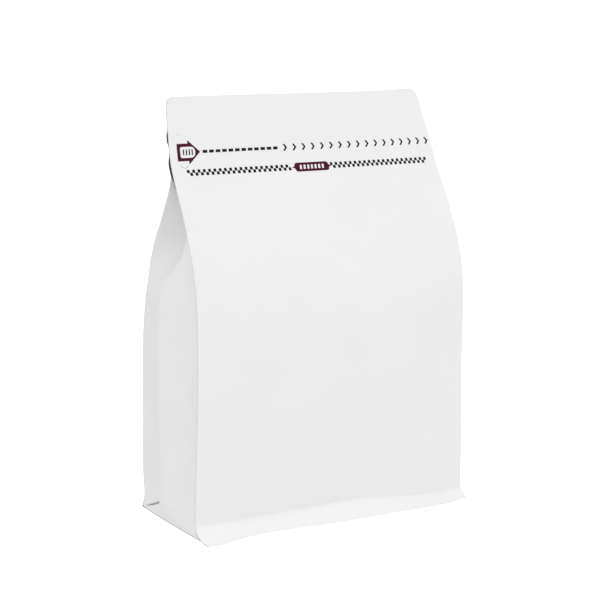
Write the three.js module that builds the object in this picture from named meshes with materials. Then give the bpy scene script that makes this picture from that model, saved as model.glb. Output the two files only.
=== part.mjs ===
// A filled and shut flat-bottom stand-up pouch with side gussets, as one closed solid.
// Millimetres, +Z up, the front panel towards -Y, the pull tab's corner towards -X.
// The solid is a stack of level outlines, each worked out from the sizes below.

import * as THREE from 'three';
import { mergeVertices } from 'three/addons/utils/BufferGeometryUtils.js';

// Driving dimensions
const height = 190;             // as it stands, from the table to the top edge
const finWidth = 5;             // sealed strip that stands out along each upright corner
const finThickness = 0.5;
const leastFin = 0.6;           // its width where a corner is rounded off
const flangeHeight = 8;         // sealed strip round the base
const flangeDrop = 0.52;        // share of that height lost towards the front strip's right end
const flangeDropEnds = [8, 54];
const frontFlangeReach = 3.6;   // how far that strip flares out in front
const backFlangeReach = 1.4;
const headerStart = 160;        // above this the two panels are sealed together
const headerThickness = 1.3;
const frontBulge = 5;           // how far the filling pushes each panel out at its middle
const backBulge = 4.2;
const gussetBulge = 10.5;       // how far the crease of the gusset is pushed out at mid height
const gussetFootBulge = 8.8;    // and low down
const footBulgeEnds = 62;       // height where the bulge is full
const gussetTuck = 11;          // the gusset tucks in towards the base below this height
const creaseTurns = 110;        // above this height the crease slants forwards and the gusset folds in
const creaseMeetsFin = 152;     // and here the crease reaches the front fin
const leanStart = 101;          // between these heights the gusset flattens
const leanEnd = 140;
const lean = 0.6;               // and loses this share of its bulge
const curlReach = 10;           // the header's right end curls back by this much at the top
const toeRadius = 7;            // rounded lower left corner of the front panel
const topLeftRadius = 4;
const topRightRadius = 6;
const sideFlangeFront = 64.6;   // half the width of the base between the gussets, front end
const sideFlangeBack = 69.6;    // and back end

// Side view: [height, place] of each panel along its fins, without flange and bulge.
const frontLine = [
  [0, -27.2], [40, -27.8], [75, -28.5], [98, -28.6], [112, -27], [126, -22.4],
  [140, -15.1], [154, -6.5], [162, -2.3], [175, 0.3], [190, 2],
];
const backLine = [
  [0, 29.2], [6, 29.8], [18, 31.6], [56, 32.7], [84, 31.4], [106, 25.4],
  [124, 18.2], [135.5, 10.1], [147, 2.4], [155, -1.6], [160, -1.7],
];
// Front view: [height, half the width across the fins].
const halfWidthLine = [[0, 70], [5, 69], [21, 68.6], [63, 67.3], [112, 67.1], [160, 66.6], [190, 66.6]];
// The front flange isn't straight: [place across, how much further forward it stands].
const flangeWave = [
  [-64, 2.2], [-58, 2.3], [-45, -0.8], [-27, -0.9], [-4, 1.7], [20, 2.5], [56, 3.6], [70, 0.6],
];
// Above the crease's turn the gusset is dished: [height, depth of the dish].
const dishLine = [[104, 0], [112, 3], [120, 8], [128, 14], [140, 19], [150, 21], [160, 20]];

// How finely the outlines are cut. The slanting crease runs from corner to corner of the
// gusset's cells, so it has one level for each column of half a gusset.
const panelColumns = 22;        // between the two fins of a panel
const gussetColumns = 16;
const bodyLevels = [0, 1, 2.5, 4, 6, 8, 11, 15, 21, 30, 42, 56, 70, 83, 93, 100, 105];
const shoulderLevels = [154, 157, 160];
const headerLevels = [164, 169, 175, 181, 184, 186, 188, 189.3, 190];
const foldLevels = Array.from(
  { length: gussetColumns / 2 + 1 },
  (_, step) => mix(creaseTurns, creaseMeetsFin, (2 * step) / gussetColumns),
);
const levels = [...bodyLevels, ...foldLevels, ...shoulderLevels, ...headerLevels];

const paper = new THREE.MeshStandardMaterial({ color: 0xf1f1f0, roughness: 0.62, metalness: 0 });

function clamp01(value) {
  return Math.min(1, Math.max(0, value));
}

function mix(from, to, share) {
  return from + (to - from) * share;
}

function smooth(start, end, at) {
  const share = clamp01((at - start) / (end - start));
  return share * share * (3 - 2 * share);
}

// Smooth curve through [at, value] stations, level beyond both ends.
function through(stations, at) {
  const last = stations.length - 1;
  if (at <= stations[0][0]) return stations[0][1];
  if (at >= stations[last][0]) return stations[last][1];
  const next = stations.findIndex((station) => station[0] > at);
  const slope = (from, to) => (stations[to][1] - stations[from][1]) / (stations[to][0] - stations[from][0]);
  const startSlope = slope(Math.max(next - 2, 0), next);
  const endSlope = slope(next - 1, Math.min(next + 1, last));
  const [startAt, startValue] = stations[next - 1];
  const [endAt, endValue] = stations[next];
  const span = endAt - startAt;
  const t = (at - startAt) / span;
  const bend = t * (1 - t);
  return mix(startValue, endValue, t * t * (3 - 2 * t))
    + span * bend * ((1 - t) * startSlope - t * endSlope);
}

// How much of the base flange's flare is left at this height: 1 on the table, 0 above the flange.
function flare(z, tall = flangeHeight) {
  return Math.pow(clamp01(1 - z / tall), 1.3);
}

// Swelling of a filled panel: none at the base, the header and the fins.
function swell(x, z, foot = flangeHeight) {
  const root = through(halfWidthLine, z) - finWidth;
  const across = Math.min(1, Math.abs(x) / root);
  const up = clamp01((z - foot) / (headerStart - foot));
  return Math.sin(Math.PI * Math.pow(up, 0.75)) * (1 - Math.pow(across, 2.6));
}

// The header's right end leans further back towards the top.
function curl(x, z) {
  return curlReach * smooth(33, 70, x) * smooth(headerStart, height, z);
}

function frontFace(x, z) {
  const tall = flangeHeight * (1 - flangeDrop * smooth(...flangeDropEnds, x));
  const flange = flare(z, tall) * (frontFlangeReach + through(flangeWave, x));
  return through(frontLine, z) - flange - frontBulge * swell(x, z, tall) + curl(x, z);
}

function backFace(x, z) {
  if (z >= headerStart) return frontFace(x, z) + headerThickness;
  return through(backLine, z) + flare(z) * backFlangeReach + backBulge * swell(x, z);
}

// Rounded corner of a sheet: how much its edge has moved in at this distance from its end.
function cornerCut(radius, fromEnd) {
  const inside = clamp01(1 - fromEnd / radius);
  return radius * (1 - Math.sqrt(1 - inside * inside));
}

// Half width of a panel at its fin's edge, with the corners that are rounded.
function finEdge(side, panel, z) {
  const edge = through(halfWidthLine, z) - cornerCut(side < 0 ? topLeftRadius : topRightRadius, height - z);
  return side < 0 && panel === 'front' ? edge - cornerCut(toeRadius, z) : edge;
}

// Half width where the gusset leaves a panel's fin, which narrows at the rounded corners.
function finRoot(side, panel, z) {
  const atBase = panel === 'front' ? sideFlangeFront : sideFlangeBack;
  const root = mix(through(halfWidthLine, z) - finWidth, atBase, flare(z));
  return Math.min(root, finEdge(side, panel, z) - leastFin);
}

// How far the gusset stands proud of the fins' roots, share of the way from the front fin to the
// back fin. Low down it has a ridge halfway. Higher up the ridge slants to the front fin, and the
// paper behind it is dished inwards.
function gussetRise(share, z) {
  const ridgeLeft = clamp01((creaseMeetsFin - z) / (creaseMeetsFin - creaseTurns));
  const tucked = Math.pow(clamp01(1 - z / gussetTuck), 1.5);
  const flattened = lean * smooth(leanStart, leanEnd, z);
  const bulge = mix(gussetFootBulge, gussetBulge, smooth(gussetTuck, footBulgeEnds, z));
  const ridge = bulge * ridgeLeft * (1 - tucked) * (1 - flattened);
  const ridgeAt = ridgeLeft / 2;
  if (share <= ridgeAt) return ridgeAt > 0 ? ridge * (share / ridgeAt) : 0;
  const behind = (share - ridgeAt) / (1 - ridgeAt);
  return ridge * (1 - behind) - through(dishLine, z) * 4 * behind * (1 - behind);
}

function gussetPoint(side, share, z) {
  const frontRoot = finRoot(side, 'front', z);
  const backRoot = finRoot(side, 'back', z);
  const frontEnd = frontFace(side * frontRoot, z);
  const backEnd = backFace(side * backRoot, z);
  if (z >= headerStart) return [side * frontRoot, (frontEnd + backEnd) / 2];
  const tuck = side < 0 ? cornerCut(toeRadius, z) / 2 : 0;
  const start = frontEnd + finThickness + tuck;
  const end = backEnd - finThickness;
  return [side * (mix(frontRoot, backRoot, share) + gussetRise(share, z)), mix(start, end, share)];
}

// Places across a panel, from its left edge to its right edge, with a column on each fin's root.
function panelPlaces(panel, z) {
  const places = [-finEdge(-1, panel, z)];
  for (let column = 0; column <= panelColumns; column += 1) {
    places.push(mix(-finRoot(-1, panel, z), finRoot(1, panel, z), column / panelColumns));
  }
  places.push(finEdge(1, panel, z));
  return places;
}

// One level outline, anticlockwise seen from above, starting at the front panel's left edge.
function outline(z) {
  const front = panelPlaces('front', z).map((x) => [x, frontFace(x, z)]);
  const back = panelPlaces('back', z).reverse().map((x) => [x, backFace(x, z)]);
  const shares = Array.from({ length: gussetColumns + 1 }, (_, column) => column / gussetColumns);
  const rightGusset = shares.map((share) => gussetPoint(1, share, z));
  const leftGusset = shares.map((share) => gussetPoint(-1, 1 - share, z));
  const inner = ([x, y], offset) => [x, y + offset];
  return [
    ...front,
    inner(front[front.length - 1], finThickness),
    ...rightGusset,
    inner(back[0], -finThickness),
    ...back,
    inner(back[back.length - 1], -finThickness),
    ...leftGusset,
    inner(front[0], finThickness),
  ];
}

function samePlace(a, b) {
  return Math.hypot(a[0] - b[0], a[1] - b[1]) < 1e-6;
}

// Triangles over an outline, with points that fall together used once.
function capTriangles(points, firstIndex) {
  const kept = points.map((_, index) => index)
    .filter((index) => !samePlace(points[index], points[(index + 1) % points.length]));
  const flat = kept.map((index) => new THREE.Vector2(...points[index]));
  return THREE.ShapeUtils.triangulateShape(flat, [])
    .map((corners) => corners.map((corner) => firstIndex + kept[corner]));
}

// In the half of each gusset that comes first round the outline, cells are split the other way,
// so that an edge follows the slanting crease.
function slantsBack(index) {
  const panelPoints = panelColumns + 3;
  const rightStart = panelPoints + 1;
  const leftStart = rightStart + gussetColumns + 2 + panelPoints + 1;
  return [rightStart, leftStart].some((start) => index >= start && index < start + gussetColumns / 2);
}

function pouchGeometry() {
  const outlines = levels.map(outline);
  const count = outlines[0].length;
  const positions = outlines.flatMap((points, level) => points.flatMap(([x, y]) => [x, y, levels[level]]));
  const triangles = [];
  for (let level = 0; level + 1 < levels.length; level += 1) {
    const [lower, upper] = [outlines[level], outlines[level + 1]];
    for (let index = 0; index < count; index += 1) {
      const next = (index + 1) % count;
      const [a, b] = [level * count + index, level * count + next];
      const [c, d] = [b + count, a + count];
      const [lowerApex, upperApex] = slantsBack(index) ? [d, b] : [c, a];
      if (!samePlace(lower[index], lower[next])) triangles.push(a, b, lowerApex);
      if (!samePlace(upper[index], upper[next])) triangles.push(upperApex, c, d);
    }
  }
  const topStart = (levels.length - 1) * count;
  capTriangles(outlines[0], 0).forEach(([a, b, c]) => triangles.push(a, c, b));
  capTriangles(outlines[levels.length - 1], topStart).forEach((corners) => triangles.push(...corners));
  const geometry = new THREE.BufferGeometry();
  geometry.setAttribute('position', new THREE.Float32BufferAttribute(positions, 3));
  geometry.setIndex(triangles);
  return mergeVertices(geometry, 1e-4);
}

// Puts the origin on the table under the middle of the pouch.
function standOnOrigin(geometry) {
  geometry.computeBoundingBox();
  const middle = geometry.boundingBox.getCenter(new THREE.Vector3());
  geometry.translate(-middle.x, -middle.y, 0);
  geometry.computeVertexNormals();
  return geometry;
}

const pouch = new THREE.Mesh(standOnOrigin(pouchGeometry()), paper);
pouch.name = 'pouch';

const model = new THREE.Group();
model.add(pouch);

export default model;
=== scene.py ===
# Filled flat-bottom pouch of white paper laminate: its sheets, seals and print, in a white studio.
# Shapes are worked out in millimetres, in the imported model's frame, and made in metres.
import math
import bpy
import numpy as np
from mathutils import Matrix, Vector, geometry


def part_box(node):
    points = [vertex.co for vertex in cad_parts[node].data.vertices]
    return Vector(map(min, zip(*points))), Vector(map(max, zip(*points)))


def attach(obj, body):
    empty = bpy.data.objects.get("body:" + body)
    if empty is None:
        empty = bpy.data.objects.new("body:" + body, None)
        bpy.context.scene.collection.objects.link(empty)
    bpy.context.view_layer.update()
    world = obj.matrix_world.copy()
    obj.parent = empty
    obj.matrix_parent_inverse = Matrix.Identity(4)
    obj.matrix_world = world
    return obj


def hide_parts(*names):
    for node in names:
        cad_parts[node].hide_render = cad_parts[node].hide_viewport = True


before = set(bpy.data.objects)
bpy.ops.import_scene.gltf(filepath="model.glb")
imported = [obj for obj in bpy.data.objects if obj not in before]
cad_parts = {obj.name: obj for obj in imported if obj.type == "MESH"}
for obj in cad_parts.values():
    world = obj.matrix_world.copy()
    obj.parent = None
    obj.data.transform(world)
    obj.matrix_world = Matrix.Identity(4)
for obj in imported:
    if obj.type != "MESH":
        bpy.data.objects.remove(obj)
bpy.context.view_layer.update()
low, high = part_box("pouch")
mm = 0.001

pouch = {                        # the sizes that the solid is made from
    "height": (high.z - low.z) / mm,
    "sheet": 0.22,               # one layer of laminate
    "finWidth": 5,               # sealed strip along each upright corner
    "finThickness": 0.5,
    "leastFin": 0.6,             # its width where a corner is rounded off
    "flangeHeight": 8,           # sealed strip round the base
    "flangeDrop": 0.52,          # share of that height lost towards the front strip's right end
    "flangeDropEnds": (8, 54),
    "flarePower": 1.3,           # above 1 the strip flares out most near the table
    "frontFlangeReach": 3.6,
    "backFlangeReach": 1.4,
    "headerStart": 160,          # above this the panels are sealed together
    "frontBulge": 5,
    "backBulge": 4.2,
    "bulgeRise": 0.75,           # below 1 the bulge is fullest below mid height
    "bulgeFlatness": 2.6,        # how late it falls off towards the fins
    "curlReach": 10,             # the header's right end curls back
    "curlEnds": (33, 70),
    "toeRadius": 7,
    "topLeftRadius": 4,
    "topRightRadius": 6,
    "sideFlangeFront": 64.6,
    "sideFlangeBack": 69.6,
    # side view: height and place of each panel along its fins
    "frontLine": [(0, -27.2), (40, -27.8), (75, -28.5), (98, -28.6), (112, -27), (126, -22.4),
                  (140, -15.1), (154, -6.5), (162, -2.3), (175, 0.3), (190, 2)],
    "backLine": [(0, 29.2), (6, 29.8), (18, 31.6), (56, 32.7), (84, 31.4), (106, 25.4),
                 (124, 18.2), (135.5, 10.1), (147, 2.4), (155, -1.6), (160, -1.7)],
    # front view: height and half the width across the fins
    "halfWidthLine": [(0, 70), (5, 69), (21, 68.6), (63, 67.3), (112, 67.1), (160, 66.6), (190, 66.6)],
    # the front flange's waves: place across and how much further forward
    "flangeWave": [(-64, 2.2), (-58, 2.3), (-45, -0.8), (-27, -0.9),
                   (-4, 1.7), (20, 2.5), (56, 3.6), (70, 0.6)],
}
detail = {                       # how finely the sheets are cut
    "footHeight": 2, "footRows": 12, "footPower": 1.7,
    "pleatRows": (2.25, 13, 0.25),               # from, to and step
    "bodyStart": 13.4, "bodyStep": 1.1,
    "topHeight": 3, "topRows": 16,
    "panelColumns": {"front": 118, "back": 96},  # between the fins
    "finColumns": 5,
    "gussetColumns": 68,
    "flapColumns": 12,
    "baseLanes": 34, "laneGrowth": 1.04,         # half of the base, from its edge inwards
    "sharpAngle": 50,
}


# Curves and faces of the pouch

def mix(start, end, share):
    return start + (end - start) * share


def smooth(start, end, at):
    share = np.clip((at - start) / (end - start), 0, 1)
    return share * share * (3 - 2 * share)


def through(stations, at):                       # smooth curve through (place, value) stations
    places, values = np.array(stations, float).T
    at = np.clip(np.asarray(at, float), places[0], places[-1])
    last = len(places) - 1
    after = np.clip(np.searchsorted(places, at, side="right"), 1, last)
    before = after - 1
    outerBefore, outerAfter = np.maximum(after - 2, 0), np.minimum(after + 1, last)
    startSlope = (values[after] - values[outerBefore]) / (places[after] - places[outerBefore])
    endSlope = (values[outerAfter] - values[before]) / (places[outerAfter] - places[before])
    span = places[after] - places[before]
    t = (at - places[before]) / span
    bend = span * t * (1 - t) * ((1 - t) * startSlope - t * endSlope)
    return mix(values[before], values[after], t * t * (3 - 2 * t)) + bend


def flare(z, tall=pouch["flangeHeight"]):        # 1 on the table, 0 above the base flange
    return np.clip(1 - z / tall, 0, 1) ** pouch["flarePower"]


def swell(x, z, foot=pouch["flangeHeight"]):     # 1 where a filled panel bulges most, 0 at its edges
    root = through(pouch["halfWidthLine"], z) - pouch["finWidth"]
    across = np.minimum(1, np.abs(x) / root)
    rise = np.clip((z - foot) / (pouch["headerStart"] - foot), 0, 1)
    return np.sin(np.pi * rise ** pouch["bulgeRise"]) * (1 - across ** pouch["bulgeFlatness"])


def curl(x, z):
    rise = smooth(pouch["headerStart"], pouch["height"], z)
    return pouch["curlReach"] * smooth(*pouch["curlEnds"], x) * rise


def frontFace(x, z):
    reach = pouch["frontFlangeReach"] + through(pouch["flangeWave"], x)
    tall = pouch["flangeHeight"] * (1 - pouch["flangeDrop"] * smooth(*pouch["flangeDropEnds"], x))
    flange = flare(z, tall) * reach
    return through(pouch["frontLine"], z) - flange - pouch["frontBulge"] * swell(x, z, tall) + curl(x, z)


def cornerCut(radius, fromEnd):                  # how far a rounded corner has moved the edge in
    inside = np.clip(1 - fromEnd / radius, 0, 1)
    return radius * (1 - np.sqrt(1 - inside * inside))


def finEdge(side, panel, z):
    top = pouch["topLeftRadius"] if side < 0 else pouch["topRightRadius"]
    edge = through(pouch["halfWidthLine"], z) - cornerCut(top, pouch["height"] - z)
    return edge - cornerCut(pouch["toeRadius"], z) if side < 0 and panel == "front" else edge


def finRoot(side, panel, z):
    atBase = pouch["sideFlangeFront"] if panel == "front" else pouch["sideFlangeBack"]
    root = mix(through(pouch["halfWidthLine"], z) - pouch["finWidth"], atBase, flare(z))
    return np.minimum(root, finEdge(side, panel, z) - pouch["leastFin"])


# the model's box has its middle on the origin, so everything moves back by the same step
halfFoot = pouch["halfWidthLine"][0][1]
footPlaces = np.linspace(-halfFoot, halfFoot, 400)
forward = low.y / mm - frontFace(footPlaces, 0 * footPlaces).min()


# Dents and creases: small shifts of a panel, in mm, outwards where positive

dents = {
    "seeds": {"front": 11, "back": 12, "header": 16},
    "waves": 14,                 # broad ripples of the filled paper
    "waveHeight": 0.07,
    "waveLengths": (32, 75),
    "calmFoot": (2, 12),         # the seals at the foot and the header stay flat
    "calmHeader": (150, 163),
    "sideCalm": 0.75,            # and most of the dents fade out beside the fins
    "sideCalmEnds": (0.86, 1.0),
    # the header has finer ripples, but not in its curled end
    "ripple": {"finer": 1.4, "share": 0.35, "starts": (160, 172), "fades": (30, 60)},
    # a crease has a shallow trough beside it, placed and sized in crease widths
    "trough": {"share": 0.45, "at": 1.5, "width": 1.3},
    # x, z, reach across, reach up, turn in degrees, height
    "frontSwells": [(46, 31, 19, 12, -25, 0.60), (16, 92, 26, 12, 10, -0.25), (-30, 133, 22, 7, -48, 0.35),
                    (38, 118, 16, 10, 12, -0.45), (-25, 60, 28, 30, 0, 0.30), (12, 70, 14, 8, -20, -0.25)],
    "backSwells": [(-22, 70, 30, 26, 15, 0.40), (30, 40, 22, 15, -20, -0.40), (8, 118, 30, 10, 5, 0.30)],
    # x, z at each end, width, height of a soft crease
    "frontCreases": [(44, 95, 60, 88, 1.8, 0.20), (40, 32.5, 61, 28, 1.6, 0.18),
                     (-67, 31.5, -46, 30.2, 1.3, 0.13), (52, 62, 66, 57, 1.6, 0.14),
                     (-12, 16, 20, 14, 2.4, 0.12), (57, 20, 68, 9, 2.0, 0.20),
                     (-57, 17, -66, 9, 1.8, 0.14), (48, 124, 62, 120, 1.8, 0.16)],
    "backCreases": [(-62, 26, -40, 29, 1.6, 0.18), (44, 84, 61, 90, 1.8, 0.20), (10, 14, 42, 17, 2.4, 0.14),
                    (-66, 92, -52, 96, 1.6, 0.14)],
}


def waveField(seed, x, z):
    draw = np.random.default_rng(seed)
    total = np.zeros_like(x)
    for _ in range(dents["waves"]):
        length = draw.uniform(*dents["waveLengths"])
        turn, phase = draw.uniform(0, 2 * np.pi, 2)
        total += np.sin(2 * np.pi * (x * np.cos(turn) + z * np.sin(turn)) / length + phase)
    return total * dents["waveHeight"] / math.sqrt(dents["waves"] / 2)


def swellAt(x, z, spot):
    atX, atZ, reachX, reachZ, turn, rise = spot
    cosTurn, sinTurn = math.cos(math.radians(turn)), math.sin(math.radians(turn))
    along = ((x - atX) * cosTurn + (z - atZ) * sinTurn) / reachX
    over = (-(x - atX) * sinTurn + (z - atZ) * cosTurn) / reachZ
    return rise * np.exp(-(along ** 2 + over ** 2))


def creaseAt(x, z, line):
    fromX, fromZ, toX, toZ, width, rise = line
    trough = dents["trough"]
    length = math.hypot(toX - fromX, toZ - fromZ)
    unitX, unitZ = (toX - fromX) / length, (toZ - fromZ) / length
    along = ((x - fromX) * unitX + (z - fromZ) * unitZ) / length
    over = ((x - fromX) * unitZ - (z - fromZ) * unitX) / width
    fade = np.clip(1 - (2 * along - 1) ** 2, 0, 1)
    dip = trough["share"] * np.exp(-((over - trough["at"]) / trough["width"]) ** 2)
    return rise * fade * (np.exp(-over ** 2) - dip)


def headerRipple(x, z):
    ripple = dents["ripple"]
    waves = waveField(dents["seeds"]["header"], ripple["finer"] * x, ripple["finer"] * z)
    return waves * ripple["share"] * smooth(*ripple["starts"], z) * (1 - smooth(*ripple["fades"], x))


def dent(x, z, panel):
    calm = smooth(*dents["calmFoot"], z) * (1 - smooth(*dents["calmHeader"], z))
    towardsSide = np.abs(x) / through(pouch["halfWidthLine"], z)
    sides = 1 - dents["sideCalm"] * smooth(*dents["sideCalmEnds"], towardsSide)
    total = waveField(dents["seeds"][panel], x, z)
    total += sum(swellAt(x, z, spot) for spot in dents[panel + "Swells"])
    total += sum(creaseAt(x, z, line) for line in dents[panel + "Creases"])
    return total * calm * sides + headerRipple(x, z)


def frontSkin(x, z):
    return frontFace(x, z) - dent(x, z, "front")


header = {                       # the two panels above the zipper
    "sealed": 0.98,              # thickness where all the layers are pressed together
    "closes": (-3, 2),           # the back comes to the front over these heights from its start
    # z, half height and opening of the slits at the left end
    "slits": [(172.4, 2.8, 1.5), (158.5, 6.0, 2.3)],
    "slitDepth": 9,              # how far in from the left edge they close
    "paintedShadeHeights": (151.2, 177),         # here the left gusset's fold is painted dark between the panels, as shade
    "paintedShadeSlant": 0.44,           # that starts further in towards the back
    "paintedShadeSpread": 0.2,           # and further out with height
}


def headerOpening(x, z):
    fromEdge = x + through(pouch["halfWidthLine"], z)
    reach = 1 - smooth(0, header["slitDepth"], fromEdge)
    return reach * sum(gap * np.exp(-((z - at) / tall) ** 4) for at, tall, gap in header["slits"])


def backSkin(x, z):
    flange = flare(z) * pouch["backFlangeReach"]
    body = through(pouch["backLine"], z) + flange + pouch["backBulge"] * swell(x, z)
    body = body + dent(x, z, "back")
    sealedBack = frontSkin(x, z) + header["sealed"] + headerOpening(x, z)
    start, end = (pouch["headerStart"] + step for step in header["closes"])
    return mix(np.maximum(body, sealedBack), sealedBack, smooth(start, end, z))


# Sheets: a grid of outer points and one of inner points, made into a closed thin solid

outsideFaces, insideFaces, rimFaces = 0, 1, 2    # places of a sheet's three finishes


def rowHeights():                                # close together at the seals and the rounded corners
    foot = detail["footHeight"] * np.linspace(0, 1, detail["footRows"]) ** detail["footPower"]
    pleat = np.arange(*detail["pleatRows"])
    body = np.arange(detail["bodyStart"], pouch["height"] - detail["topHeight"], detail["bodyStep"])
    top = pouch["height"] - detail["topHeight"] * np.linspace(1, 0, detail["topRows"]) ** 2
    return np.concatenate([foot, pleat, body, top])


def panelGrid(panel):
    z = rowHeights()
    skin = frontSkin if panel == "front" else backSkin
    leftEdge, rightEdge = -finEdge(-1, panel, z), finEdge(1, panel, z)
    leftRoot, rightRoot = -finRoot(-1, panel, z), finRoot(1, panel, z)
    fin = np.linspace(0, 1, detail["finColumns"], endpoint=False)
    middle = np.linspace(0, 1, detail["panelColumns"][panel] + 1)
    strips = [mix(leftEdge, leftRoot, share) for share in fin]
    strips += [mix(leftRoot, rightRoot, share) for share in middle]
    strips += [mix(rightEdge, rightRoot, share) for share in fin[::-1]]
    x = np.stack(strips, axis=1)
    z = np.repeat(z[:, None], x.shape[1], axis=1)
    return np.stack([x, skin(x, z), z], axis=-1)


def gridNormals(grid):
    alongRow = np.gradient(grid, axis=1)
    alongColumn = np.gradient(grid, axis=0)
    normal = np.cross(alongRow, alongColumn)
    return normal / np.maximum(np.linalg.norm(normal, axis=-1, keepdims=True), 1e-9)


def addObject(name, data):
    piece = bpy.data.objects.new(name, data)
    bpy.context.scene.collection.objects.link(piece)
    return piece


def addMesh(name, points, faces, finishes):      # its points are in metres
    mesh = bpy.data.meshes.new(name)
    mesh.from_pydata(points, [], faces)
    for finish in finishes:
        mesh.materials.append(finish)
    return addObject(name, mesh)


def sheetPiece(name, outer, inner, finishes):    # finishes: of the outside, the inside and the cut edge
    rows, columns = outer.shape[:2]
    count = rows * columns
    index = np.arange(count).reshape(rows, columns)
    a, b, c, d = index[:-1, :-1], index[:-1, 1:], index[1:, 1:], index[1:, :-1]
    outside = np.stack([a, b, c, d], axis=-1).reshape(-1, 4)
    border = np.concatenate([index[0, :-1], index[:-1, -1], index[-1, :0:-1], index[:0:-1, 0]])
    following = np.roll(border, -1)
    rim = np.stack([following, border, border + count, following + count], axis=-1)
    faces = np.concatenate([outside, outside[:, ::-1] + count, rim])
    points = np.concatenate([outer.reshape(-1, 3), inner.reshape(-1, 3)])
    points[:, 1] += forward
    piece = addMesh(name, (points * mm).tolist(), faces.tolist(), finishes)
    places = [outsideFaces, insideFaces, rimFaces]
    finishOf = np.repeat(places, [len(outside), len(outside), len(rim)]).astype(np.int32)
    piece.data.polygons.foreach_set("material_index", finishOf)
    piece.data.shade_smooth()
    piece.data.set_sharp_from_angle(angle=math.radians(detail["sharpAngle"]))
    return piece


# Side gussets

gusset = {
    "bulge": 10.5,               # how far the crease stands out at mid height
    "footBulge": 8.8,            # and just above the base
    "bulgeHeights": (11, 62),
    "tuck": 11,                  # below this height it tucks in to the base
    "tuckPower": 1.5,
    "creaseTurns": 110,          # above this the crease slants to the front fin and the gusset folds in
    "creaseMeetsFin": 152,
    "lean": 0.6,                 # how much of the bulge is lost between these heights
    "leanHeights": (101, 140),
    # height and depth of the dish behind the slanting crease
    "dishLine": [(104, 0), (112, 3), (120, 8), (128, 14), (140, 19), (150, 21), (160, 20)],
    "hollow": 1.25,              # above 1 the two flanks are slightly hollow
    # height and softness of the crease
    "softLine": [(0, 2.8), (20, 2.4), (60, 1.1), (104, 1.1), (112, 5),
                 (120, 8), (132, 9), (142, 6), (150, 0.5)],
    "mostSoft": 2.4,             # as a share of the ridge
    "leastSoft": 0.02,
    "seeds": {-1: 30, 1: 32},    # of the ripples on each side
    "ripple": 0.12,
    "rippleSpan": 30,            # its width, as the ripples take it
    "rippleStarts": (13, 25),
    "rippleEnds": (140, 150),
    # the left side's back half runs out to the fin's edge, and its tuck slopes down to the back corner
    "backFill": 0.97,
    "fillEnds": (148, 158),
    "tuckFrom": 0.6,
    "tuckSlope": 0.95,
    # shares and heights of the two ends of the slit above the tuck
    "pleat": {"from": 0.58, "fromHeight": 9.6, "to": 0.96, "toHeight": 1.0, "tall": 0.3, "deep": 2.2,
              "opens": (0, 0.12), "closes": (0.7, 1)},
    "baseBow": 0.7,              # the base's side edges curve out by this much
    "toeSlip": 0.35,             # the layer behind the rounded toe lies this much lower
}


def softLess(first, second, blendWidth):         # the smaller of two values, with a rounded corner
    share = np.clip(0.5 + 0.5 * (second - first) / blendWidth, 0, 1)
    return mix(second, first, share) - blendWidth * share * (1 - share)


def tuckHeight(side, share):                     # where the tuck of the left side's back half ends
    behind = np.clip((share - gusset["tuckFrom"]) / (1 - gusset["tuckFrom"]), 0, 1)
    return gusset["tuck"] * (1 - gusset["tuckSlope"] * behind * (side < 0))


def toeTuck(side, z):                            # the layers behind the rounded toe lie further back
    return cornerCut(pouch["toeRadius"], z) / 2 if side < 0 else 0


def gussetRise(side, share, z, given):           # how proud of the fins' roots it stands
    slant = gusset["creaseMeetsFin"] - gusset["creaseTurns"]
    ridgeLeft = np.clip((gusset["creaseMeetsFin"] - z) / slant, 0, 1)
    bulge = mix(gusset["footBulge"], gusset["bulge"], smooth(*gusset["bulgeHeights"], z)) - given
    bulge = bulge * (1 - np.clip(1 - z / tuckHeight(side, share), 0, 1) ** gusset["tuckPower"])
    ridge = bulge * ridgeLeft * (1 - gusset["lean"] * smooth(*gusset["leanHeights"], z))
    ridgeAt = np.maximum(ridgeLeft / 2, 0.01)    # never quite at the fin, so that it can be divided by
    behind = (share - ridgeAt) / (1 - ridgeAt)
    dish = through(gusset["dishLine"], z) * 4 * np.maximum(behind, 0) * (1 - behind)
    frontFlank = ridge * (share / ridgeAt) ** gusset["hollow"]
    backFlank = ridge * (1 - behind) ** gusset["hollow"] - dish
    softness = np.minimum(through(gusset["softLine"], z), gusset["leastSoft"] + gusset["mostSoft"] * ridge)
    return softLess(frontFlank, backFlank, softness)


def gussetRipple(side, share, z):
    waves = waveField(gusset["seeds"][side], gusset["rippleSpan"] * share, z)
    waves = waves * gusset["ripple"] / dents["waveHeight"]
    heights = smooth(*gusset["rippleStarts"], z) * (1 - smooth(*gusset["rippleEnds"], z))
    return waves * np.sin(np.pi * share) ** 0.5 * heights


def pleatShift(share, z):                        # the left side's slit, towards the back corner
    pleat = gusset["pleat"]
    along = (share - pleat["from"]) / (pleat["to"] - pleat["from"])
    length = smooth(*pleat["opens"], along) * (1 - smooth(*pleat["closes"], along))
    middle = mix(pleat["fromHeight"], pleat["toHeight"], along)
    return -length * pleat["deep"] * np.exp(-((z - middle) / pleat["tall"]) ** 6)


def gussetRoots(side, z):                        # the fins' roots, and where the back half runs out to
    frontRoot, backRoot = finRoot(side, "front", z), finRoot(side, "back", z)
    fill = gusset["backFill"] * (1 - smooth(*gusset["fillEnds"], z)) if side < 0 else 0 * z
    return frontRoot, backRoot, mix(backRoot, finEdge(side, "back", z), fill)


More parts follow.
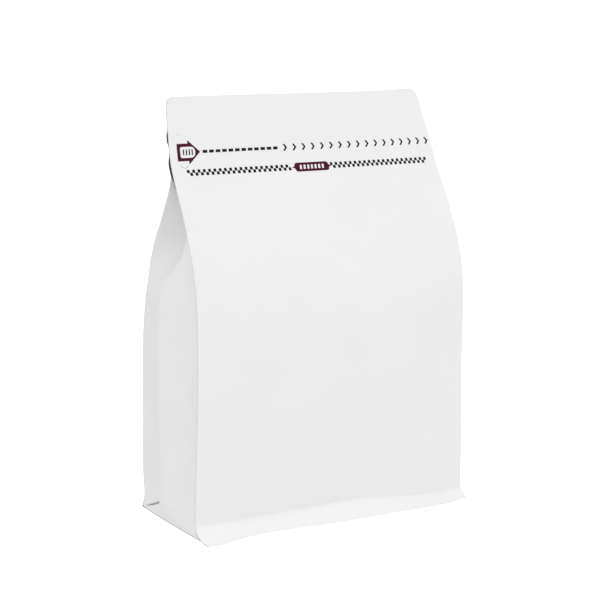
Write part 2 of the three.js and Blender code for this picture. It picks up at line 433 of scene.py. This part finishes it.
def gussetBody(side, rows):
    share, z = np.meshgrid(np.linspace(0, 1, detail["gussetColumns"] + 1), rows)
    frontRoot, backRoot, filledRoot = gussetRoots(side, z)
    seam = pouch["finThickness"]
    start = frontSkin(side * frontRoot, z) - curl(side * frontRoot, z) + seam + toeTuck(side, z)
    end = backSkin(side * backRoot, z) - curl(side * backRoot, z) - seam
    out = gussetRise(side, share, z, (filledRoot - backRoot) / 2) + gussetRipple(side, share, z)
    if side < 0:
        out = out + pleatShift(share, z)
    bow = gusset["baseBow"] * 4 * share * (1 - share) * flare(z)
    x = side * (mix(frontRoot, filledRoot, share) + out + bow)
    y = mix(start, end, share) + curl(x, z)
    between = np.clip(y, frontSkin(x, z) + seam, backSkin(x, z) - seam)
    y = np.where(z > gusset["creaseTurns"], between, y)          # the folded part stays inside the header
    return np.stack([x, y, z], axis=-1)


def gussetFlap(side, panel, rows):               # the layer behind a panel's fin, from its edge to its root
    step, z = np.meshgrid(np.linspace(0, 1, detail["flapColumns"], endpoint=False), rows)
    frontRoot, _, filledRoot = gussetRoots(side, z)
    atToe = side < 0 and panel == "front"
    edge = finEdge(side, panel, z + (gusset["toeSlip"] if atToe else 0))
    if panel == "front":
        x = mix(side * edge, side * frontRoot, step)
        return np.stack([x, frontSkin(x, z) + pouch["finThickness"] + toeTuck(side, z) * step, z], axis=-1)
    x = mix(side * edge, side * filledRoot, step)
    return np.stack([x, backSkin(x, z) - pouch["finThickness"], z], axis=-1)


def gussetGrid(side):
    rows = rowHeights()
    front, back = gussetFlap(side, "front", rows), gussetFlap(side, "back", rows)
    return np.concatenate([front, gussetBody(side, rows), back[:, ::-1]], axis=1)


# Base

base = {
    "thickness": 0.4,
    "lip": 0.32,                 # how far inside the flange its edge lies
    "sideLip": 0.15,             # and how far out of the gussets
    "groove": 2.2,               # height of the fold just inside the flange
    "foldWidth": 1.3,
    "settle": 11,                # where it has come down to rest on the table
    "rest": 0.15,
    "least": 0.02,
    "cornerCrease": 0.35,        # creases run in from the corners
    "creaseWidth": 1.6,
    "creaseFade": (8, 30),
    "toeLength": 0.08,           # share of the depth over which it widens behind the rounded toe
    "toeEnds": (-66, -62),       # and it lies further back behind the toe
    "toeShadeFrom": 62,               # from here out the edges round the toe take painted contact shadow
}


def baseLanes():                                 # close together at both edges
    steps = np.concatenate([[0], np.cumsum(detail["laneGrowth"] ** np.arange(detail["baseLanes"]))])
    half = steps / steps[-1] * 0.5
    return np.concatenate([half, 1 - half[-2::-1]])


def baseSides(deep):                             # half its width to the left and to the right
    halfFront = pouch["sideFlangeFront"] + base["sideLip"]
    bow = gusset["baseBow"] * 4 * deep * (1 - deep)
    halfRight = mix(halfFront, pouch["sideFlangeBack"] + base["sideLip"], deep) + bow
    halfLeft = mix(halfFront, finEdge(-1, "back", 0) + base["sideLip"], deep) + bow
    behindToe = finEdge(-1, "front", 0) - pouch["leastFin"]
    return mix(behindToe, halfLeft, smooth(0, base["toeLength"], deep)), halfRight


def baseHeight(toSide, toEnd):                   # a fold along the edges, then down to the table
    fromEdge = np.minimum(toSide, toEnd)
    fold = base["groove"] * smooth(0, base["foldWidth"], fromEdge)
    settled = smooth(base["foldWidth"], base["settle"], fromEdge)
    crease = base["cornerCrease"] * np.exp(-((toSide - toEnd) / base["creaseWidth"]) ** 2)
    crease = crease * (1 - smooth(*base["creaseFade"], fromEdge))
    return np.maximum(mix(fold, base["rest"], settled) + crease * settled, base["least"])


def baseGrid(lift):                              # its underside, or its top with the lift of its thickness
    across, deep = np.meshgrid(baseLanes(), baseLanes())
    halfLeft, halfRight = baseSides(deep)
    x = mix(-halfLeft, halfRight, across)
    behind = base["lip"] + pouch["toeRadius"] / 2 * (1 - smooth(*base["toeEnds"], x))
    frontEdge = frontFace(x, 0 * x) + behind
    backEdge = through(pouch["backLine"], 0 * x) + pouch["backFlangeReach"] - base["lip"]
    y = mix(frontEdge, backEdge, deep)
    toSide = np.minimum(halfRight - x, halfLeft + x)
    toEnd = np.minimum(y - frontEdge, backEdge - y)
    z = baseHeight(toSide, toEnd) + lift
    y = np.maximum(y, frontFace(x, z) + behind)  # the front flange flares over it
    return np.stack([x, y, z], axis=-1)


# Print: flat outlines across and up the front panel, laid on it as thin films of ink, of paper, and of the
# tab cuts' painted shade

inkFilm = {"proud": 0.045, "sunk": 0.04, "cell": 1.3, "clear": 0.45}


def densify(outline, step):
    points = []
    for (fromX, fromZ), (toX, toZ) in zip(outline, outline[1:] + outline[:1]):
        count = max(1, math.ceil(math.hypot(toX - fromX, toZ - fromZ) / step))
        points += [(mix(fromX, toX, i / count), mix(fromZ, toZ, i / count)) for i in range(count)]
    return points


def isInside(outline, x, z):                     # a line to the right crosses it an odd number of times
    crossings = 0
    for (fromX, fromZ), (toX, toZ) in zip(outline, outline[1:] + outline[:1]):
        if (fromZ > z) != (toZ > z):
            crossings += x < mix(fromX, toX, (z - fromZ) / (toZ - fromZ))
    return crossings % 2 == 1


def insidePoints(outline, step):
    corners = np.array(outline)
    (left, bottom), (right, top) = corners.min(axis=0), corners.max(axis=0)
    clear = step * inkFilm["clear"]              # how far they stay from the outline's points
    return [(x, z) for x in np.arange(left + step / 2, right, step)
            for z in np.arange(bottom + step / 2, top, step)
            if isInside(outline, x, z) and np.hypot(corners[:, 0] - x, corners[:, 1] - z).min() > clear]


def filmFaces(triangles, start, count):          # a film's front, its back and the walls between them
    sides = [side for corners in triangles for side in zip(corners, corners[1:] + corners[:1])]
    known = set(sides)
    faces = []
    for corners in triangles:
        faces.append([start + i for i in corners])
        faces.append([start + count + i for i in reversed(corners)])
    return faces + [[start + b, start + a, start + count + a, start + count + b]
                    for a, b in sides if (b, a) not in known]


def printPiece(name, outlines, material, layer=0):
    points, faces = [], []
    for outline in outlines:
        edge = densify(outline, inkFilm["cell"])
        flat = [Vector(p) for p in edge + insidePoints(edge, inkFilm["cell"])]
        flat, _, triangles, *_ = geometry.delaunay_2d_cdt(flat, [], [list(range(len(edge)))], 1, 1e-6)
        x, z = np.array([tuple(p) for p in flat]).T
        skin = frontSkin(x, z) + forward
        faces += filmFaces(triangles, len(points), len(flat))
        points += list(zip(x, skin - inkFilm["proud"] * (layer + 1), z))
        points += list(zip(x, skin + inkFilm["sunk"], z))
    piece = addMesh(name, (np.array(points) * mm).tolist(), faces, [material])
    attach(piece, "root")
    return piece


def arc(centreX, centreZ, radius, fromTurn, toTurn, count=8):
    turns = np.radians(np.linspace(fromTurn, toTurn, count + 1))
    return [(centreX + radius * math.cos(t), centreZ + radius * math.sin(t)) for t in turns]


def ring(centreX, centreZ, radius, line, fromTurn, toTurn):
    return (arc(centreX, centreZ, radius, fromTurn, toTurn, 12)
            + arc(centreX, centreZ, radius - line, toTurn, fromTurn, 12))


def roundedBox(left, right, bottom, top, leftRadius, rightRadius):
    return (arc(left + leftRadius, bottom + leftRadius, leftRadius, 180, 270)
            + arc(right - rightRadius, bottom + rightRadius, rightRadius, 270, 360)
            + arc(right - rightRadius, top - rightRadius, rightRadius, 0, 90)
            + arc(left + leftRadius, top - leftRadius, leftRadius, 90, 180))


def bar(left, right, bottom, top, lean=0):
    return [(left, bottom), (right, bottom), (right + lean, top), (left + lean, top)]


arrow = {"left": -63.1, "neck": -58.0, "tip": -52.4, "middle": 166.4, "halfShaft": 3.65, "halfHead": 5.05}
label = {"left": -61.7, "right": -54.7, "bottom": 164.05, "top": 168.7, "leftRadius": 0.7, "rightRadius": 2.2}
gripBars = {"count": 4, "first": -60.5, "pitch": 1.35, "width": 0.55, "bottom": 165.2, "top": 167.6}
tearLine = {"from": -51.2, "to": -14.6, "dash": 2.2, "gap": 0.9, "middle": 166.42, "thick": 1.25}
chevrons = {"count": 17, "first": -11.2, "pitch": 4.68, "middle": 166.45,
            "wide": 2.05, "tall": 2.9, "stroke": 0.95}
checks = {"first": -59.3, "last": 61.0, "pitch": 2.5, "rows": (158.45, 157.25), "size": 1.3, "corner": 0.28}
badge = {"left": -8.0, "right": 9.2, "bottom": 155.9, "top": 159.6, "radius": 1.35, "tail": 1.3, "clear": 1.3,
         "teeth": 7, "firstTooth": -5.6, "toothPitch": 1.85,
         "toothWide": 0.95, "toothTall": 1.7, "toothLean": 0.3}
# the tab is cut round its lower lobe and nicked above, all in turns of degrees; the cuts are drawn as thin
# grey films, painted shade in the slits
tearTab = {"lobeX": -60.35, "lobeZ": 161.75, "lobeRadius": 2.0, "lobeCut": (205, 335), "line": 0.3,
           "nickX": -61.9, "nickZ": 172.6, "nickRadius": 1.75, "nickStarts": (50, 105), "nickSpan": 22}


def arrowOutline():
    middle, shaft, head = arrow["middle"], arrow["halfShaft"], arrow["halfHead"]
    return [(arrow["left"], middle - shaft), (arrow["neck"], middle - shaft), (arrow["neck"], middle - head),
            (arrow["tip"], middle), (arrow["neck"], middle + head), (arrow["neck"], middle + shaft),
            (arrow["left"], middle + shaft)]


def gripOutlines():
    for i in range(gripBars["count"]):
        left = gripBars["first"] + i * gripBars["pitch"]
        yield bar(left, left + gripBars["width"], gripBars["bottom"], gripBars["top"])


def dashOutlines():
    left, half = tearLine["from"], tearLine["thick"] / 2
    while left + tearLine["dash"] <= tearLine["to"]:
        yield bar(left, left + tearLine["dash"], tearLine["middle"] - half, tearLine["middle"] + half)
        left += tearLine["dash"] + tearLine["gap"]


def chevronOutlines():
    halfWide, halfTall, stroke = chevrons["wide"] / 2, chevrons["tall"] / 2, chevrons["stroke"]
    for i in range(chevrons["count"]):
        x, z = chevrons["first"] + i * chevrons["pitch"], chevrons["middle"]
        left, right = x - halfWide, x + halfWide
        yield [(left, z - halfTall), (left + stroke, z - halfTall), (right, z),
               (left + stroke, z + halfTall), (left, z + halfTall), (right - stroke, z)]


def checkOutlines():                             # squares in two rows by turns, with a gap for the badge
    half = checks["size"] / 2
    steps = int(round((checks["last"] - checks["first"]) / (checks["pitch"] / 2)))
    for i in range(steps + 1):
        x, z = checks["first"] + i * checks["pitch"] / 2, checks["rows"][i % 2]
        if not badge["left"] - badge["clear"] < x < badge["right"] + badge["clear"]:
            yield roundedBox(x - half, x + half, z - half, z + half, checks["corner"], checks["corner"])


def badgeOutline():
    middle = (badge["bottom"] + badge["top"]) / 2
    left, right, tail, radius = badge["left"], badge["right"], badge["tail"], badge["radius"]
    return (arc(left + radius, badge["bottom"] + radius, radius, 180, 270)
            + arc(right - radius, badge["bottom"] + radius, radius, 270, 360)
            + [(right + tail, middle)]
            + arc(right - radius, badge["top"] - radius, radius, 0, 90)
            + arc(left + radius, badge["top"] - radius, radius, 90, 180)
            + [(left - tail, middle)])


def toothOutlines():
    middle, half = (badge["bottom"] + badge["top"]) / 2, badge["toothTall"] / 2
    for i in range(badge["teeth"]):
        left = badge["firstTooth"] + i * badge["toothPitch"]
        yield bar(left, left + badge["toothWide"], middle - half, middle + half, badge["toothLean"])


def lobeOutline():
    return arc(tearTab["lobeX"], tearTab["lobeZ"], tearTab["lobeRadius"], 180, 360, 16)


def tabCutShadeOutlines():
    line = tearTab["line"]
    yield ring(tearTab["lobeX"], tearTab["lobeZ"], tearTab["lobeRadius"], line, *tearTab["lobeCut"])
    for start in tearTab["nickStarts"]:
        end = start + tearTab["nickSpan"]
        yield ring(tearTab["nickX"], tearTab["nickZ"], tearTab["nickRadius"], line, start, end)


# Materials: noise counts are cycles per metre, and depths are metres

noiseEnds = (0.3, 0.7)           # most of a noise lies between these
bumpStrength = 0.35
paperLook = {
    "light": (0.842, 0.842, 0.839),
    "shade": (0.822, 0.823, 0.822),
    "mottle": 30,                # the faint colour change
    "grain": 2200,               # the paper's tooth
    "grainDepth": 0.00002,
    "fibre": 420,
    "fibreDepth": 0.00004,
    "roughness": (0.50, 0.64),
    "specular": 0.3,
    "sealed": (0.882, 0.882, 0.880),     # painted bounce light: whiter in the front's sealed strip round the base, standing in for light from the table
    "bounceLightEnds": (0.65, 1.2),           # where that painted light fades out, as shares of the strip's height
}
inkLook = {
    "black": {"dark": (0.006, 0.005, 0.007), "worn": (0.022, 0.020, 0.024), "roughness": (0.50, 0.62)},
    "maroon": {"dark": (0.058, 0.003, 0.015), "worn": (0.085, 0.008, 0.026), "roughness": (0.48, 0.60)},
    "wearEnds": (0.45, 0.8),
    "grain": 1500,
    "grainDepth": 0.00001,
    "specular": 0.12,
}
liningLook = {                   # the film on the inside, and the laminate's cut edges, darkened in places with painted shade; and the painted shade in the left slit
    # the front panel's cut edge: the laminate's grey core, darkened further with painted shade of the gap
    # behind its fin
    "cut": {"light": (0.60, 0.60, 0.595), "shade": (0.46, 0.46, 0.455)},
    "pale": {"light": (0.84, 0.84, 0.835), "shade": (0.79, 0.79, 0.785)},
    # the base's cut edges and the toe's rims: the laminate's edge, darkened with painted contact shadow from
    # the table
    "base": {"light": (0.48, 0.48, 0.47), "shade": (0.36, 0.36, 0.35)},
    "film": {"light": (0.34, 0.34, 0.335), "shade": (0.27, 0.27, 0.265)},
    # painted shade: near black, for the shadow in the left gusset's fold between the header panels
    "slit": {"light": (0.11, 0.11, 0.105), "shade": (0.07, 0.07, 0.068)},
    "grain": 900,
    "grainDepth": 0.00002,
    "roughness": (0.35, 0.50),
    "specular": 0.5,
}


def newMaterial(name):
    material = bpy.data.materials.new(name)
    material.use_nodes = True
    tree = material.node_tree
    return material, tree, tree.nodes["Principled BSDF"], tree.nodes.new("ShaderNodeTexCoord")


def noiseAt(tree, place, scale, fineness=3):
    noise = tree.nodes.new("ShaderNodeTexNoise")
    noise.inputs["Scale"].default_value = scale
    noise.inputs["Detail"].default_value = fineness
    tree.links.new(place.outputs["Object"], noise.inputs["Vector"])
    return noise.outputs["Fac"]


def rampOf(tree, value, start, end, ends=noiseEnds):
    ramp = tree.nodes.new("ShaderNodeValToRGB")
    for stop, at, colour in zip(ramp.color_ramp.elements, ends, (start, end)):
        stop.position = at
        stop.color = (*colour, 1)
    tree.links.new(value, ramp.inputs["Fac"])
    return ramp.outputs["Color"]


def rangeOf(tree, value, toEnds, fromEnds=noiseEnds, shape="LINEAR"):
    spread = tree.nodes.new("ShaderNodeMapRange")
    spread.interpolation_type = shape
    for name, amount in zip(("From Min", "From Max", "To Min", "To Max"), (*fromEnds, *toEnds)):
        spread.inputs[name].default_value = amount
    tree.links.new(value, spread.inputs["Value"])
    return spread.outputs["Result"]


def bumpOf(tree, value, depth, under=None):
    bump = tree.nodes.new("ShaderNodeBump")
    bump.inputs["Strength"].default_value = bumpStrength
    bump.inputs["Distance"].default_value = depth
    tree.links.new(value, bump.inputs["Height"])
    if under:
        tree.links.new(under, bump.inputs["Normal"])
    return bump.outputs["Normal"]


def dress(tree, shader, colour, roughness, normal, specular):
    tree.links.new(colour, shader.inputs["Base Color"])
    tree.links.new(roughness, shader.inputs["Roughness"])
    tree.links.new(normal, shader.inputs["Normal"])
    shader.inputs["Specular IOR Level"].default_value = specular


def paintedBounceLight(tree, place, colour):            # painted bounce light: whiter towards the table, over the front's sealed strip
    axes = tree.nodes.new("ShaderNodeSeparateXYZ")
    tree.links.new(place.outputs["Object"], axes.inputs["Vector"])
    tall = pouch["flangeHeight"] * mm
    ends = [end * mm for end in pouch["flangeDropEnds"]]
    stripTop = rangeOf(tree, axes.outputs["X"], (tall, tall * (1 - pouch["flangeDrop"])), ends, "SMOOTHSTEP")
    share = tree.nodes.new("ShaderNodeMath")
    share.operation = "DIVIDE"
    tree.links.new(axes.outputs["Z"], share.inputs[0])
    tree.links.new(stripTop, share.inputs[1])
    bounceLightShare = rangeOf(tree, share.outputs["Value"], (1, 0), paperLook["bounceLightEnds"], "SMOOTHSTEP")
    blend = tree.nodes.new("ShaderNodeMixRGB")
    blend.inputs["Color2"].default_value = (*paperLook["sealed"], 1)
    tree.links.new(bounceLightShare, blend.inputs["Fac"])
    tree.links.new(colour, blend.inputs["Color1"])
    return blend.outputs["Color"]


def paperMaterial(name, withBounceLight=False):
    material, tree, shader, place = newMaterial(name)
    mottle = noiseAt(tree, place, paperLook["mottle"], 2)
    fibre = noiseAt(tree, place, paperLook["fibre"], 4)
    grain = noiseAt(tree, place, paperLook["grain"], 2)
    colour = rampOf(tree, mottle, paperLook["shade"], paperLook["light"])
    # painted bounce light at the front's foot
    if withBounceLight:
        colour = paintedBounceLight(tree, place, colour)
    fibreBump = bumpOf(tree, fibre, paperLook["fibreDepth"])
    bump = bumpOf(tree, grain, paperLook["grainDepth"], fibreBump)
    dress(tree, shader, colour, rangeOf(tree, fibre, paperLook["roughness"]), bump, paperLook["specular"])
    return material


def inkMaterial(name, look):
    material, tree, shader, place = newMaterial(name)
    grain = noiseAt(tree, place, inkLook["grain"], 4)
    colour = rampOf(tree, grain, look["dark"], look["worn"], inkLook["wearEnds"])
    bump = bumpOf(tree, grain, inkLook["grainDepth"])
    dress(tree, shader, colour, rangeOf(tree, grain, look["roughness"]), bump, inkLook["specular"])
    return material


def liningMaterial(name, look):
    material, tree, shader, place = newMaterial(name)
    grain = noiseAt(tree, place, liningLook["grain"], 3)
    colour = rampOf(tree, grain, look["shade"], look["light"])
    bump = bumpOf(tree, grain, liningLook["grainDepth"])
    dress(tree, shader, colour, rangeOf(tree, grain, liningLook["roughness"]), bump, liningLook["specular"])
    return material


paper = paperMaterial("whitePaperLaminate")
# the front's paper carries painted bounce light at its foot
frontPaperBounceLit = paperMaterial("whitePaperFrontBounceLit", withBounceLight=True)
cutEdgeAndShade = liningMaterial("cutEdgeAndShade", liningLook["cut"])
paleEdge = liningMaterial("paleCutEdge", liningLook["pale"])
baseEdgeAndContactShade = liningMaterial("baseCutEdgeAndContactShade", liningLook["base"])
innerFilm = liningMaterial("innerFilm", liningLook["film"])
slitPaintedShade = liningMaterial("slitPaintedShade", liningLook["slit"])
blackInk = inkMaterial("blackInk", inkLook["black"])
maroonInk = inkMaterial("maroonInk", inkLook["maroon"])
print("materials made")


# Pieces

def addSheet(name, outer, inner, edge, outside=paper):
    piece = sheetPiece(name, outer, inner, [outside, innerFilm, edge])
    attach(piece, "root")
    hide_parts("pouch")
    return piece


def refinish(piece, finish, was, holds):         # another finish on some of the faces that have one
    mesh = piece.data
    mesh.materials.append(finish)
    centres = np.empty(3 * len(mesh.polygons), np.float32)
    mesh.polygons.foreach_get("center", centres)
    finishOf = np.empty(len(mesh.polygons), np.int32)
    mesh.polygons.foreach_get("material_index", finishOf)
    finishOf[(finishOf == was) & holds(*centres.reshape(-1, 3).T / mm)] = len(mesh.materials) - 1
    mesh.polygons.foreach_set("material_index", finishOf)


# painted contact shadow: the rims round the toe, next to the table
def inToeContactShade(x, y, z):
    return (x < -base["toeShadeFrom"]) & (z < pouch["toeRadius"])


def inSlitShade(x, y, z):                             # painted shade in the fold: from the left edge and from the front panel inwards
    start, end = header["paintedShadeHeights"]
    fromEdge = x + through(pouch["halfWidthLine"], z)
    behind = y - forward - frontFace(x, z)
    deep = fromEdge > header["paintedShadeSlant"] * behind - header["paintedShadeSpread"] * (z - start)
    return deep & (z > start) & (z < end)


def addPanels():
    thick = np.array([0, pouch["sheet"], 0])
    frontGrid = panelGrid("front")
    front = addSheet("frontPanel", frontGrid, frontGrid + thick, cutEdgeAndShade, frontPaperBounceLit)
    # painted contact shadow on the rims round the toe
    refinish(front, baseEdgeAndContactShade, rimFaces, inToeContactShade)
    backGrid = panelGrid("back")[:, ::-1]
    addSheet("backPanel", backGrid, backGrid - thick, paleEdge)


def addGusset(name, side):
    grid = gussetGrid(side)
    inner = grid - side * gridNormals(grid) * pouch["sheet"]
    return addSheet(name, grid[:, ::side], inner[:, ::side], paleEdge)


def addGussets():
    left = addGusset("leftGusset", -1)
    # painted shade on the fold's outside faces between the header panels
    refinish(left, slitPaintedShade, outsideFaces, inSlitShade)
    refinish(left, baseEdgeAndContactShade, rimFaces, inToeContactShade)
    addGusset("rightGusset", 1)


def addBase():
    addSheet("basePanel", baseGrid(0)[:, ::-1], baseGrid(base["thickness"])[:, ::-1], baseEdgeAndContactShade)


def addPrint():
    printPiece("tearTabLobe", [lobeOutline()], paper)
    # the die cuts: grey films of painted shade in the slits, in the cut edge's grey
    printPiece("tearTabCutShade", tabCutShadeOutlines(), cutEdgeAndShade, 1)
    printPiece("tabArrow", [arrowOutline()], maroonInk, 1)
    printPiece("tabLabel", [roundedBox(*label.values())], paper, 2)
    printPiece("tabGripBars", gripOutlines(), blackInk, 3)
    printPiece("tearLineDashes", dashOutlines(), blackInk)
    printPiece("tearLineChevrons", chevronOutlines(), blackInk)
    printPiece("zipperChecks", checkOutlines(), blackInk)
    printPiece("zipperBadge", [badgeOutline()], maroonInk)
    printPiece("zipperBadgeTeeth", toothOutlines(), paper, 1)


addPanels()
addGussets()
addBase()
print("sheets made")
addPrint()
print("print laid on")


# Studio, in metres

studio = {
    "reach": 9,                  # from the pouch to the foot of the wall
    "wall": 7,
    "sweep": 2,                  # radius of the bend between floor and wall
    "bendRings": 8,
    "floor": -0.00006,           # just under the base
    "floorRings": (0.3, 1.0),
    "spokes": 72,
    "grain": 3,
    "roughness": (0.7, 0.8),
    "glow": 0.93,
    "floorColour": (0.80, 0.80, 0.80),
    "ambient": 0.908,
    "towards": (0.0, -0.10, 0.12),       # how much brighter it is to this side
    "keyPlace": (0.0, -0.30, 0.30),
    "keySize": 0.2,
    "keyPower": 0.055,
}


def sweepProfile():                              # radius and height, from the floor's middle up the wall
    flat, bend = studio["reach"] - studio["sweep"], studio["sweep"]
    profile = [(radius, studio["floor"]) for radius in (0, *studio["floorRings"], flat)]
    for turn in np.radians(np.linspace(-90, 0, studio["bendRings"] + 1)[1:]):
        profile.append((flat + bend * math.cos(turn), bend * (1 + math.sin(turn))))
    return profile + [(studio["reach"], studio["wall"])]


def sweepMesh():
    rings, spokes = sweepProfile()[1:], studio["spokes"]
    turns = [2 * math.pi * i / spokes for i in range(spokes)]
    points = [(0, 0, studio["floor"])]
    for radius, z in rings:
        points += [(radius * math.cos(turn), radius * math.sin(turn), z) for turn in turns]
    faces = [(0, 1 + i, 1 + (i + 1) % spokes) for i in range(spokes)]
    for ringIndex in range(len(rings) - 1):
        start = 1 + ringIndex * spokes
        for i in range(spokes):
            following = (i + 1) % spokes
            faces.append((start + i, start + spokes + i, start + spokes + following, start + following))
    return points, faces


def addSweep():
    material, tree, shader, place = newMaterial("studioWhite")
    roughness = rangeOf(tree, noiseAt(tree, place, studio["grain"]), studio["roughness"])
    tree.links.new(roughness, shader.inputs["Roughness"])
    shader.inputs["Base Color"].default_value = (*studio["floorColour"], 1)
    shader.inputs["Emission Color"].default_value = (1, 1, 1, 1)
    shader.inputs["Emission Strength"].default_value = studio["glow"]
    sweep = addMesh("studioSweep", *sweepMesh(), [material])
    sweep.data.shade_smooth()
    sweep.visible_diffuse = False        # the room's light reaches the pouch through it
    sweep.visible_glossy = False
    sweep.visible_shadow = False


def addRoomLight():
    world = bpy.data.worlds.new("studioRoom")
    bpy.context.scene.world = world
    world.use_nodes = True
    tree = world.node_tree
    place = tree.nodes.new("ShaderNodeTexCoord")
    lean = tree.nodes.new("ShaderNodeVectorMath")
    lean.operation = "DOT_PRODUCT"
    lean.inputs[1].default_value = studio["towards"]
    total = tree.nodes.new("ShaderNodeMath")
    total.operation = "ADD"
    total.inputs[1].default_value = studio["ambient"]
    tree.links.new(place.outputs["Generated"], lean.inputs[0])
    tree.links.new(lean.outputs["Value"], total.inputs[0])
    tree.links.new(total.outputs["Value"], tree.nodes["Background"].inputs["Strength"])
    tree.nodes["Background"].inputs["Color"].default_value = (1, 1, 1, 1)


def addKey():
    light = bpy.data.lights.new("softKey", "AREA")
    light.shape = "DISK"
    light.size = studio["keySize"]
    light.energy = studio["keyPower"]
    key = addObject("softKey", light)
    key.location = studio["keyPlace"]
    aim = Vector((0, 0, pouch["height"] * mm / 2)) - key.location
    key.rotation_euler = aim.to_track_quat("-Z", "Y").to_euler()


# metres, degrees and, for the lens, millimetres
camera = {"place": (-0.31229, -0.57273, 0.22513), "down": 11.187, "left": 28.418, "lens": 87.30, "sensor": 36}


def addCamera():
    data = bpy.data.cameras.new("photoView")
    data.lens = camera["lens"]
    data.sensor_width = camera["sensor"]
    view = addObject("photoView", data)
    view.location = camera["place"]
    view.rotation_euler = (math.radians(90 - camera["down"]), 0, math.radians(-camera["left"]))
    bpy.context.scene.camera = view


addSweep()
addRoomLight()
addKey()
addCamera()
bpy.context.scene.view_settings.view_transform = "Standard"
print("studio and camera set")
